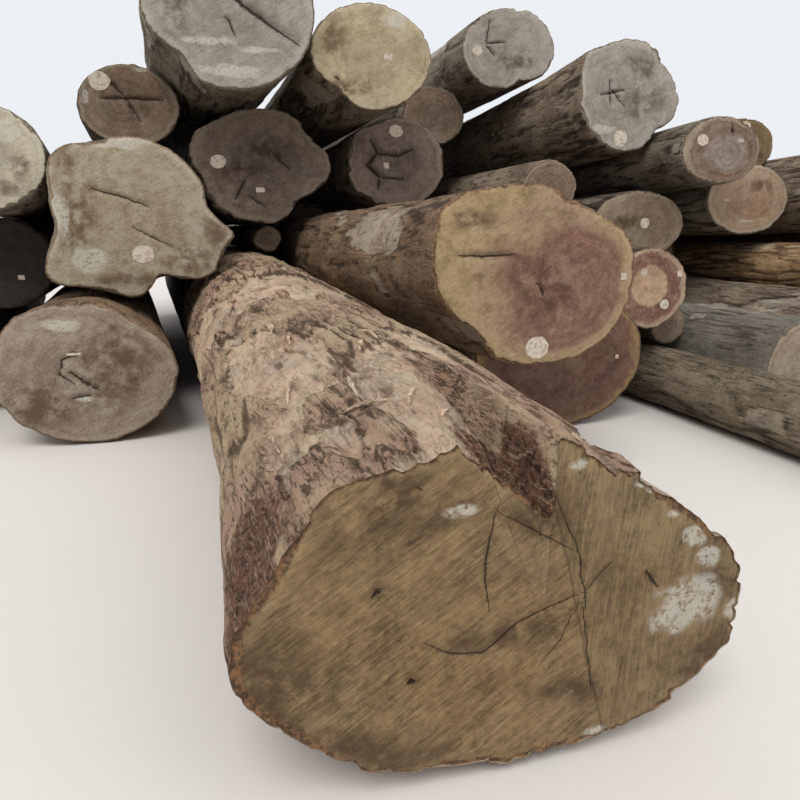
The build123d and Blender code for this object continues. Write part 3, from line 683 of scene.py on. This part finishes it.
def make_end_group():
    """Sawn end: rings round the pith, heart and sapwood, saw marks, stains with some painted shade, dark cracks, paint
    and a bark rim.
    """
    tree, given = new_group("sawn_end", {
        "Wood": GREY, "Heart": GREY, "Sapwood": GREY, "Rim": GREY, "Stain": GREY, "Mould": GREY, "Heart size": 0.6,
        "Heart edge": 0.05, "Sap width": 0.06, "Ring strength": 0.5, "Stain share": 0.5, "Mould share": 0.3,
        "Saw turn": 0.0, "Second turn": 0.0, "Second from x": NO_SECOND_CUT, "Saw strength": 1.0,
    })
    stain, mould, strength = given["Stain"], given["Mould"], given["Saw strength"]
    place = object_places(tree)
    ring, rim, shade, crack, split, paint = attributes(tree, "ring", "rim", "shade", "crack", "split", "paint")
    broad, mid, fine = noise(place, 2.6, 5, 0.62, 0.4), noise(place, 8, 8, 0.68, 0.2), noise(place, 48, 7, 0.72)

    # Growth rings: a wave of the distance from the pith, pushed about by noise
    pushed = ring + 0.24 * broad + 0.09 * mid - 0.165
    wave = (130.0 * pushed + 3.0 * fine).math("SINE")
    slow = (34.0 * pushed + 7.0 * broad).math("SINE")
    rings = (0.25 * wave + 0.35 * slow) * given["Ring strength"]
    heart = step((given["Heart size"] - pushed) / given["Heart edge"], -1.0, 1.0)
    sapwood = step(pushed + given["Sap width"] + 0.3 * (mid - 0.5) - 1.0, -0.05, 0.03)
    blotch = step(noise(place, 3.1, 9, 0.7, 0.6), 0.46, 0.72)
    mouldy = step(noise(moved(place, offset=(3.1, 0.0, 7.7)), 2.2, 9, 0.72, 0.5), 0.45, 0.7)

    # Saw marks: short strokes, noise drawn out along the cut. A second cut met the first one at a slanting border.
    x, z = [Value(add_node(tree, "ShaderNodeSeparateXYZ", {0: place}).outputs[nth]) for nth in (0, 2)]
    second = step(x + 0.27 * z + 0.06 * broad - given["Second from x"], 0.0, 0.012)
    turn = given["Saw turn"] + second * (given["Second turn"] - given["Saw turn"])
    inputs = {"Vector": place, "Angle": turn}
    turned = Value(add_node(tree, "ShaderNodeVectorRotate", inputs, rotation_type="Y_AXIS").outputs[0])
    saw = noise(moved(turned, (13.0, 13.0, 120.0)), 1.0, 5, 0.72, 0.3)
    wide_saw = noise(moved(turned, (3.0, 3.0, 26.0)), 1.0, 4, 0.65, 0.3)
    dark = (0.5 * step(mid, 0.44, 0.64) + 0.5 * step(fine, 0.47, 0.64) + 0.75 * strength * step(saw, 0.47, 0.62)
            + 0.4 * strength * step(wide_saw, 0.48, 0.64))
    light = 0.4 * step(mid, 0.52, 0.36) + 0.5 * step(fine, 0.49, 0.34) + 0.8 * strength * step(saw, 0.48, 0.36)

    # Stains in soft patches; on the star log's left they are painted shade in its hollow
    stain_and_shade_patch = shade * step(mid + 0.5 * broad, 0.58, 0.84)
    off = abs(crack + 1.6 * fine - 0.8)
    dark_tone = step(off, 5.0, 1.0) * split * step(fine, 0.35, 0.6)
    opened = step(off, 1.1, 0.6) * step(split + 0.6 * mid, 0.55, 0.8)
    chalk = step(paint * (mid + fine), 0.2, 0.8) * step(fine, 0.36, 0.54)
    colour = coated(
        given["Wood"],
        (heart, given["Heart"]),
        (0.75 * sapwood, given["Sapwood"]),
        (rings.math("MAXIMUM", 0.0), stain),
        ((-0.8 * rings).math("MAXIMUM", 0.0), mould),
        (blotch * given["Stain share"], stain),
        (mouldy * given["Mould share"], mould),
        ((0.48 * dark).math("MINIMUM", 1.0), stain),
        ((0.5 * light).math("MINIMUM", 1.0), mould),
        (0.14 * second, stain),
        # Stains, and the painted shade in the star log's hollow
        (0.85 * stain_and_shade_patch, mix_colour(0.3, stain, BROWN_STAIN_AND_SHADE)),
        (0.4 * dark_tone, stain),
        (0.88 * opened, CRACK_DARK),
        (0.66 * chalk, CHALK),
        (0.9 * step(rim + 0.9 * fine, 0.55, 1.2), mix_colour(step(fine, 0.42, 0.58), given["Rim"], stain)),
    )
    height = 0.8 * saw + 0.8 * wide_saw + 0.7 * fine + 0.9 * mid - 0.6 * opened
    return close_group(tree, colour, 0.2 * mid + 0.74, height)


def make_bark_group():
    """Bark: plate colours by height, with painted shade in the low places and a painted highlight on the high ones,
    dark furrows with grime and painted shade, fissures and pits along the log, bare flaked wood, rot and moss.
    """
    tree, given = new_group("bark", {
        "Plate": GREY, "Second plate": GREY, "Furrow": GREY, "Bare": GREY, "Rot": srgb(146, 104, 80), "Moss": GREY,
        "Moss share": 0.0, "Furrow share": 0.8, "Bare share": 0.8, "Fissures": 0.8,
    })
    # The furrows' colour darkens the grain and specks; in the low places and the furrows it is partly grime and partly
    # painted shade
    bare_wood, dark_tone = given["Bare"], given["Furrow"]
    place = object_places(tree)
    furrow_grime_and_shade, flake, rot = attributes(tree, "furrow_grime_and_shade", "flake", "rot")
    broad, crumbs = noise(place, 1.9, 6, 0.65, 0.3), noise(place, 46, 8, 0.78)
    mid = drawn_out(place, 7.0, 2.6, 9, 0.72, 0.4)
    long_grain = drawn_out(place, 26.0, 4.0, 7, 0.7, 0.6)
    thin_grain = drawn_out(place, 70.0, 12.0, 6, 0.7, 0.4)

    # Fissures: thin winding lines where a noise passes its middle value, in patches
    wide_level = abs(drawn_out(place, 10.0, 1.5, 6, 0.66, 0.8) - 0.5)
    thin_level = abs(drawn_out(place, 22.0, 4.2, 6, 0.66, 0.6, offset=(9.0, 2.0, 4.0)) - 0.5)
    wide_lines = step(wide_level, 0.03, 0.006) * step(broad, 0.42, 0.6)
    thin_lines = step(thin_level, 0.03, 0.008) * step(mid, 0.46, 0.6)
    lines = wide_lines.math("MAXIMUM", thin_lines) * given["Fissures"] * (-0.6 * flake + 1.0)
    pits = step(long_grain, 0.57, 0.66) * given["Fissures"]

    # One height drives both the bump and the colours: the low places are darker, partly grime and partly painted
    # shade, and the high ones paler, partly wear and partly a painted highlight
    bare = step(flake + 0.4 * crumbs, 0.5, 0.9)
    coarse = -0.5 * bare + 1.0
    surface = 0.26 * mid + 0.36 * long_grain + 0.2 * thin_grain + 0.28 * crumbs - 0.05
    patchy = step(noise(place, 4.0, 7, 0.7, 0.5), 0.44, 0.62)
    greyed = step(noise(moved(place, offset=(5.0, 1.0, 2.0)), 3.0, 8, 0.72, 0.5), 0.46, 0.64)
    tinted = coated(bare_wood, (patchy, given["Second plate"]), (0.6 * greyed, WORN_GREY))
    dark = mix_colour(0.6, dark_tone, BARK_BLACK)
    rotten = coated(
        given["Rot"],
        (step(crumbs, 0.46, 0.62), ROT_CRUMB),
        (0.5 * step(thin_grain, 0.5, 0.34), bare_wood),
        (0.9 * step(mid, 0.44, 0.6) * step(rot, 0.75, 0.95), ROT_HOLLOW),
    )
    colour = coated(
        given["Plate"],
        (step(broad, 0.38, 0.62), given["Second plate"]),
        (bare * given["Bare share"], tinted),
        # High places: partly wear, partly a painted highlight
        (0.6 * step(surface, 0.48, 0.4), bare_wood),
        # Low places: partly grime, partly painted shade
        (0.85 * step(surface, 0.53, 0.63) * coarse, dark_tone),
        (0.7 * step(surface, 0.58, 0.68) * coarse, dark),
        (0.45 * step(thin_grain, 0.52, 0.68), dark_tone),
        # Furrows, pits and low lumps of the mesh, partly grime and partly painted shade, and a painted shadow along the
        # flake edges
        (step(furrow_grime_and_shade + 0.6 * crumbs, 0.5, 1.0) * given["Furrow share"], dark_tone),
        (0.85 * lines, dark),
        (0.5 * pits * coarse, dark),
        (step(rot + 0.8 * crumbs, 0.55, 1.1), rotten),
        (step(noise(place, 4.5, 6, 0.68), 0.45, 0.62) * given["Moss share"], given["Moss"]),
        (0.45 * step(crumbs, 0.55, 0.72), dark_tone),
        (0.45 * step(crumbs, 0.45, 0.28), bare_wood),
    )
    height = -3.4 * surface * coarse - 0.6 * crumbs - 0.7 * lines - 0.3 * pits
    return close_group(tree, colour, 0.15 * crumbs + 0.8, height)


end_group, bark_group = make_end_group(), make_bark_group()


def new_material(name, roughness=0.5):
    """Material with a plain shader: itself, its node tree and the shader."""
    material = bpy.data.materials.new(name)
    material.use_nodes = True
    shader = material.node_tree.nodes["Principled BSDF"]
    shader.inputs["Roughness"].default_value = roughness
    return material, material.node_tree, shader


def finish(name, group, values, bump, distance):
    """Material: one group with its own values, and its height as a bump."""
    material, tree, shader = new_material(name)
    shader.inputs["Specular IOR Level"].default_value = 0.25
    effect = add_node(tree, "ShaderNodeGroup", values, node_tree=group).outputs
    inputs = {"Strength": bump, "Distance": distance, "Height": Value(effect["Height"])}
    normal = add_node(tree, "ShaderNodeBump", inputs).outputs[0]
    for label, socket in (("Base Color", effect["Color"]), ("Roughness", effect["Roughness"]), ("Normal", normal)):
        tree.links.new(socket, shader.inputs[label])
    return material


def end_values(wood, heart, sap, rim, stain, mould, size=0.6, edge=0.06, sap_width=0.05, rings=0.4, stains=0.5,
               moulds=0.35, turn=30, saw=0.35, second_turn=0, second_x=NO_SECOND_CUT):
    """Values of one sawn end, with its saw marks turned by that many degrees."""
    colours = zip(("Wood", "Heart", "Sapwood", "Rim", "Stain", "Mould"), (wood, heart, sap, rim, stain, mould))
    return {label: srgb(*colour) for label, colour in colours} | {
        "Heart size": size, "Heart edge": edge, "Sap width": sap_width, "Ring strength": rings, "Stain share": stains,
        "Mould share": moulds, "Saw turn": math.radians(turn), "Second turn": math.radians(second_turn),
        "Second from x": second_x, "Saw strength": saw,
    }


def bark_values(plate, second, furrow_grime_and_shade, bare, moss=0.0, fissures=0.7):
    """Values of one bark."""
    return {"Plate": srgb(*plate), "Second plate": srgb(*second), "Furrow": srgb(*furrow_grime_and_shade), "Bare": srgb(*bare),
            "Moss": srgb(98, 96, 60), "Moss share": moss, "Fissures": fissures}


ENDS = {
    "olive_end": end_values(
        (126, 103, 72), (120, 96, 64), (148, 126, 92), (124, 90, 62), (64, 50, 36), (150, 128, 94), size=0.55,
        edge=0.25, rings=0.15, stains=0.4, turn=32, saw=1.0, second_turn=84, second_x=front_middle_x + 0.38
    ),
    "beige_end": end_values(
        (158, 146, 122), (150, 136, 112), (168, 158, 136), (134, 106, 80), (92, 74, 54), (170, 164, 150), size=0.5,
        edge=0.2, rings=0.3, stains=0.35, turn=20, saw=0.3, sap_width=0.08
    ),
    "greybrown_end": end_values(
        (146, 130, 112), (134, 118, 102), (160, 146, 128), (128, 100, 74), (80, 64, 52), (164, 154, 140), rings=0.45,
        edge=0.15, stains=0.35
    ),
    "heart_end": end_values(
        (166, 142, 108), (120, 86, 72), (160, 140, 98), (130, 96, 68), (74, 52, 42), (160, 140, 116), size=0.78,
        edge=0.14, sap_width=0.03, rings=0.4, stains=0.35, moulds=0.2, saw=0.3
    ),
    "red_end": end_values(
        (104, 74, 60), (92, 64, 52), (150, 126, 80), (108, 78, 58), (50, 36, 30), (124, 104, 88), size=0.8,
        sap_width=0.07, rings=0.3, saw=0.3
    ),
    "tworing_end": end_values(
        (112, 74, 60), (180, 150, 120), (184, 162, 134), (124, 102, 80), (76, 52, 42), (176, 156, 134), size=0.5,
        edge=0.04, sap_width=0.12, rings=0.3, moulds=0.2, saw=0.3
    ),
    "orange_end": end_values(
        (168, 142, 114), (154, 124, 98), (180, 166, 148), (130, 110, 92), (92, 70, 54), (168, 156, 140), size=0.6,
        sap_width=0.08, rings=0.4
    ),
    "ringed_end": end_values(
        (118, 92, 74), (140, 126, 116), (166, 150, 128), (116, 96, 78), (62, 50, 44), (150, 138, 128), size=0.55,
        sap_width=0.1, rings=0.7
    ),
    "dark_end": end_values(
        (110, 93, 79), (98, 82, 70), (130, 115, 98), (136, 116, 96), (46, 38, 32), (128, 117, 106), size=0.6,
        rings=0.4, edge=0.15, sap_width=0.07
    ),
    "darkred_end": end_values(
        (120, 100, 88), (108, 90, 80), (142, 128, 112), (104, 88, 74), (48, 38, 34), (134, 124, 114), size=0.6,
        rings=0.4, sap_width=0.06
    ),
    "pale_end": end_values(
        (188, 178, 154), (158, 148, 128), (196, 188, 166), (134, 114, 90), (98, 86, 70), (172, 168, 156), size=0.45,
        edge=0.15, rings=0.3, sap_width=0.1
    ),
    "grey_end": end_values(
        (154, 145, 132), (140, 130, 118), (170, 162, 150), (124, 102, 80), (84, 74, 64), (166, 162, 154), size=0.5,
        edge=0.15, rings=0.35, stains=0.35, sap_width=0.1
    ),
    "yellow_end": end_values(
        (178, 162, 128), (164, 147, 115), (186, 174, 146), (134, 112, 84), (100, 84, 64), (176, 168, 150), size=0.55,
        edge=0.15, rings=0.35
    ),
    "brown_end": end_values(
        (128, 106, 86), (112, 91, 74), (154, 140, 120), (116, 94, 74), (62, 48, 39), (146, 134, 120), size=0.6,
        edge=0.12, rings=0.45, sap_width=0.08
    ),
    "dark_brown_end": end_values(
        (132, 112, 92), (118, 98, 80), (156, 142, 122), (120, 100, 80), (60, 48, 40), (148, 138, 122), size=0.7,
        edge=0.12, rings=0.35
    ),
    "black_end": end_values(
        (48, 42, 38), (40, 36, 33), (62, 55, 48), (54, 46, 40), (24, 21, 19), (70, 64, 58), size=0.5, rings=0.3
    ),
}
BARKS = {
    "tan_bark": bark_values((228, 200, 162), (218, 178, 150), (94, 70, 52), (246, 220, 186), fissures=1.0),
    "rusty_bark": bark_values((178, 146, 114), (158, 128, 100), (72, 55, 43), (208, 194, 174)),
    "grey_bark": bark_values((182, 168, 148), (154, 138, 118), (64, 54, 45), (208, 196, 178)),
    "brown_bark": bark_values((190, 168, 144), (162, 140, 118), (60, 50, 41), (216, 202, 182)),
    "ochre_bark": bark_values((226, 186, 138), (196, 156, 112), (84, 62, 44), (238, 214, 180)),
    "dark_bark": bark_values((140, 122, 104), (110, 95, 80), (44, 36, 30), (172, 158, 138)),
    "smooth_bark": bark_values(
        (164, 156, 142), (144, 136, 122), (88, 79, 68), (184, 176, 162), moss=0.15, fissures=0.3
    ),
    "mossy_bark": bark_values((176, 158, 134), (150, 132, 108), (70, 57, 46), (200, 186, 164), moss=0.2, fissures=0.8),
}

# Strength of the bump and its height in metres
END_BUMP, BARK_BUMP = (0.8, 0.008), (1.0, 0.03)

ends = {key: finish(key, end_group, values, *END_BUMP) for key, values in ENDS.items()}
barks = {key: finish(key, bark_group, values, *BARK_BUMP) for key, values in BARKS.items()}


def place_piece(name, mesh, *materials):
    """Object of a piece that rides on the heap."""
    piece = bpy.data.objects.new(name, mesh)
    for material in materials:
        mesh.materials.append(material)
    scene.collection.objects.link(piece)
    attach(piece, "root")
    return piece


# Columns, stations and end rings of the front log, of the other logs that are seen, and of the hidden ones
FRONT_GRID, SEEN_GRID, HIDDEN_GRID = (400, 188, 46), (176, 64, 30), (112, 40, 8)
FIRST_SEED = 5

butt_box = {}
for seed, name in enumerate(sorted(nodes), FIRST_SEED):
    look = PLAIN | LOGS.get(name, {})
    grid = FRONT_GRID if name == "front_log" else SEEN_GRID if name in LOGS else HIDDEN_GRID
    mesh = log_mesh(name, look, *grid, seed)
    piece = place_piece(name + "_wood", mesh, ends[look["end"]], barks[look["bark"]])
    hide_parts(name)
    around, stations, rings = grid
    place = mesh_points(mesh)
    butt = place[:around * rings]
    butt_box[name] = (butt.min(axis=0), butt.max(axis=0))
    if name == "front_log":
        front_bark = place[around * rings:around * (rings + stations - 2)].reshape(-1, around, 3)

# Blank round labels and small plates on the ends: log, x and z from the middle in halves of the end's width and
# height, half width and half height in metres, corners. Their fronts stand LABEL_FRONT before the end's foremost point.
LABELS = [
    ("star_log", 0.01, -0.45, 0.085, 0.07, 24), ("heartwood_log", 0.02, -0.8, 0.07, 0.062, 24),
    ("heartwood_log", 0.89, -0.03, 0.02, 0.022, 4), ("dark_red_log", 0.69, -0.05, 0.016, 0.018, 4),
    ("two_ring_log", 0.41, -0.4, 0.042, 0.042, 24), ("two_ring_log", 0.77, 0.36, 0.028, 0.03, 4),
    ("greenish_log", 0.13, 0.05, 0.05, 0.05, 24), ("ringed_log", -0.5, 0.28, 0.06, 0.05, 24),
    ("speckled_log", 0.08, 0.72, 0.06, 0.05, 24), ("olive_log", 0.26, 0.01, 0.045, 0.028, 4),
    ("grey_log", -0.68, -0.09, 0.055, 0.05, 24), ("square_log", -0.16, -0.76, 0.075, 0.075, 24),
    ("fluted_log", -0.62, 0.08, 0.07, 0.06, 24), ("fluted_log", -0.04, -0.4, 0.045, 0.024, 4),
    ("split_end_log", -0.02, 0.7, 0.07, 0.06, 24), ("split_end_log", -0.22, -0.06, 0.03, 0.03, 4),
    ("small_top_log", -0.54, 0.56, 0.09, 0.08, 24), ("dark_end_log", 0.34, -0.31, 0.03, 0.022, 4),
    ("left_log", -0.13, 0.3, 0.055, 0.01, 4),
]
LABEL_FRONT, LABEL_THICK, LABEL_SEED = 0.002, 0.004, 71
PLATE_CORNERS, PLATE_STRETCH = 4, 1.25


def label_mesh(specs):
    """All labels as one mesh: each is a flat disc or plate on its sawn end, an oval with a little noise."""
    rng = np.random.default_rng(LABEL_SEED)
    places, faces = [], []
    for name, px, pz, wide, high, corners in specs:
        low, high_corner = butt_box[name]
        middle, half = (low + high_corner) / 2, (high_corner - low) / 2
        turn = (np.arange(corners) + 0.5) / corners * 2 * np.pi
        reach = 1 + 0.05 * rng.uniform(-1, 1, corners)
        stretch = PLATE_STRETCH if corners == PLATE_CORNERS else 1.0
        x = middle[0] + px * half[0] + stretch * wide * reach * np.cos(turn)
        z = middle[2] + pz * half[2] + stretch * high * reach * np.sin(turn)
        front = np.column_stack([x, np.full(corners, low[1] - LABEL_FRONT), z])
        faces += tube_faces(2, corners, sum(map(len, places)))
        places += [front, front + [0, LABEL_THICK, 0]]
    return new_mesh("labels", np.concatenate(places), faces)


chalk_white, tree, shader = new_material("label_white", 0.7)
worn = step(noise(object_places(tree), 40, 4, 0.6), 0.45, 0.65)
plug(mix_colour(worn, srgb(190, 178, 162), srgb(156, 136, 118)), shader.inputs["Base Color"])
place_piece("labels", label_mesh(LABELS), chalk_white)

# Splinters on the front log's bark: degrees about its middle and metres from its butt at both ends, half width.
# Their middles stand off the bark by SPLINTER_OFF, and by SPLINTER_BEND more halfway.
SPLINTERS = [
    (129, 0.5, 115, 0.43, 0.011), (112, 0.34, 105, 0.46, 0.009), (104, 0.29, 98, 0.37, 0.01),
    (121, 0.62, 119, 0.75, 0.008), (140, 0.88, 136, 1.02, 0.008), (109, 0.98, 103, 1.16, 0.009),
    (150, 0.6, 149, 0.72, 0.007), (126, 1.5, 122, 1.72, 0.009), (98, 1.1, 101, 1.26, 0.008),
]
SPLINTER_OFF, SPLINTER_BEND, SPLINTER_SEED = 0.006, 0.014, 33


def bark_at(degrees, along):
    """Place on the front log's bark that is nearest to an angle and a distance from the butt, and its way out."""
    off = front_bark - (front_bark.min(axis=1) + front_bark.max(axis=1))[:, None] / 2
    turn = np.degrees(np.arctan2(off[..., 2], off[..., 0]))
    away = (0.01 * (turn - degrees)) ** 2 + (front_bark[..., 1] - front_low.y - along) ** 2
    nth = np.unravel_index(np.argmin(away), away.shape)
    return front_bark[nth], off[nth] / np.linalg.norm(off[nth])


def splinter_mesh(specs, steps=14, corners=8):
    """All splinters as one mesh: at a share t along each, an oval of half width w sin(pi t)^0.6, half as thick.

    The line through its ovals bends off the bark by 4t(1 - t) of the full bend.
    """
    rng = np.random.default_rng(SPLINTER_SEED)
    places, faces = [], []
    share = np.linspace(0, 1, steps)[:, None]
    turn = np.arange(corners) / corners * 2 * np.pi
    for first_degrees, first_along, last_degrees, last_along, wide in specs:
        (first, first_out), (last, last_out) = bark_at(first_degrees, first_along), bark_at(last_degrees, last_along)
        out = (first_out + last_out) / 2
        centre = first * (1 - share) + last * share + out * (SPLINTER_OFF + SPLINTER_BEND * 4 * share * (1 - share))
        across = np.cross(last - first, out)
        across = across / np.linalg.norm(across)
        size = wide * (0.08 + np.sin(np.pi * share) ** 0.6) * (1 + 0.25 * rng.uniform(-1, 1, (steps, corners)))
        flat, thick = (size * np.cos(turn))[..., None] * across, (0.5 * size * np.sin(turn))[..., None] * out
        faces += tube_faces(steps, corners, sum(map(len, places)))
        places.append((centre[:, None] + flat + thick).reshape(-1, 3))
    places = np.concatenate(places)
    return new_mesh("front_splinters", places, faces, flake=np.full(len(places), 0.6))


place_piece("front_splinters", splinter_mesh(SPLINTERS), barks["tan_bark"])

# Floor, world and lamps
FLOOR_SIZE, FLOOR_Z = 120, -0.001
SKY_LIGHT = 0.8

bpy.ops.mesh.primitive_plane_add(size=FLOOR_SIZE, location=(0, 0, FLOOR_Z))
floor = bpy.context.object
floor.name = "floor"
ground, tree, shader = new_material("pale_floor", 0.9)
shader.inputs["Base Color"].default_value = srgb(214, 208, 202)
floor.data.materials.append(ground)

world = bpy.data.worlds.new("studio")
scene.world = world
world.use_nodes = True
tree = world.node_tree
sky = tree.nodes["Background"]
sky.inputs["Color"].default_value = (0.95, 0.97, 1.0, 1)
sky.inputs["Strength"].default_value = SKY_LIGHT
shown = add_node(tree, "ShaderNodeBackground", {"Color": srgb(236, 240, 244), "Strength": 1.0})
camera_ray = Value(tree.nodes.new("ShaderNodeLightPath").outputs["Is Camera Ray"])
inputs = {0: camera_ray, 1: Value(sky.outputs[0]), 2: Value(shown.outputs[0])}
mixed = add_node(tree, "ShaderNodeMixShader", inputs)
tree.links.new(mixed.outputs[0], tree.nodes["World Output"].inputs["Surface"])


def sun(name, power, angle, pitch, heading):
    """Wide sun lamp, so its shadows are soft: pitch above the horizon, heading from -Y towards +X, in degrees."""
    lamp = bpy.data.objects.new(name, bpy.data.lights.new(name, "SUN"))
    lamp.data.energy = power
    lamp.data.angle = math.radians(angle)
    lamp.rotation_euler = (math.radians(90 - pitch), 0, math.radians(heading))
    scene.collection.objects.link(lamp)


sun("key_lamp", 1.8, 30, 52, -30)
sun("fill_lamp", 0.7, 60, 28, 40)
